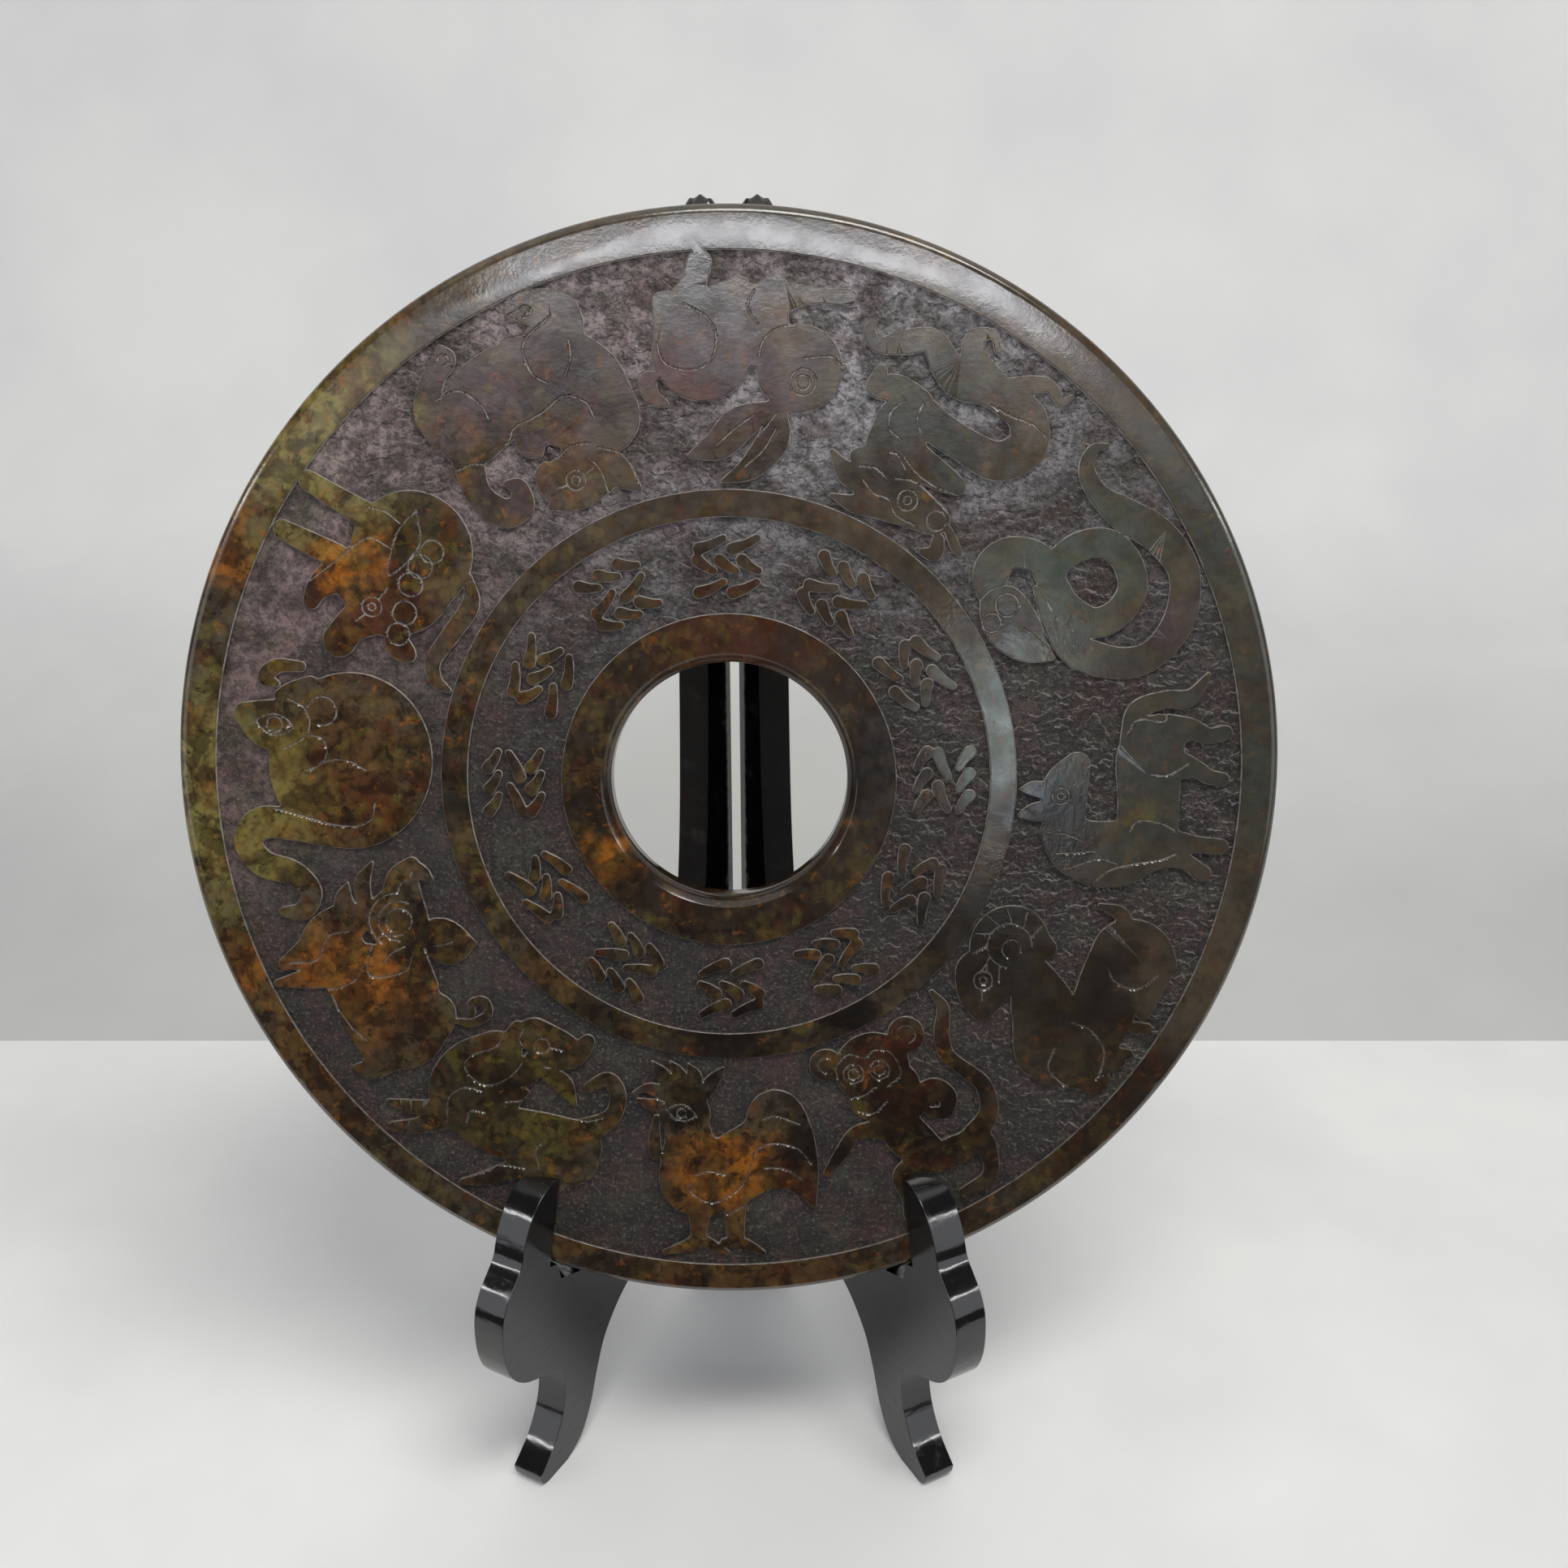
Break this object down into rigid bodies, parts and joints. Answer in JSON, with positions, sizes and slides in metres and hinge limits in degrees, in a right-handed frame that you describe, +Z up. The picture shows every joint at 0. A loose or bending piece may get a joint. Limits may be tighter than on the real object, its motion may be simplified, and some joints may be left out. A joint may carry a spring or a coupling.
{
  "type": "carved stone bi disc on a folding wooden stand",
  "caption": "Flat stone ring disc with a round hole, carved in low relief with zodiac animals in an outer field, leaning in a hinged black lacquered wooden plate stand.",
  "frame": {"origin": "middle of the whole piece's footprint box, on the surface that the stand's feet rest on", "axes": "+Z up, the carved face looks along -Y and leans back, +X to the right as seen from the front"},
  "size_m": [0.3, 0.1176, 0.3576],
  "materials": {
    "stone": "polished on the raised faces, matte and pitted in the sunk ground",
    "lacquered_wood": "glossy black lacquer",
    "brass": "dull brushed brass"
  },
  "bodies": {
    "disc_and_left_leaf": {"bi_disc": "stone", "stand_leaf_left": "lacquered_wood", "hinge_lower_plate_left": "brass", "hinge_upper_plate_left": "brass", "hinge_lower_pin": "brass", "hinge_upper_pin": "brass"},
    "right_leaf": {"stand_leaf_right": "lacquered_wood", "hinge_lower_plate_right": "brass", "hinge_upper_plate_right": "brass"}
  },
  "joints": [
    {"name": "stand_fold", "type": "hinge", "parent": "disc_and_left_leaf", "child": "right_leaf", "pos_m": [0, 0.05567, 0.184], "axis": [0, 0, 1], "range_deg": [-0.6, 1.2]}
  ]
}
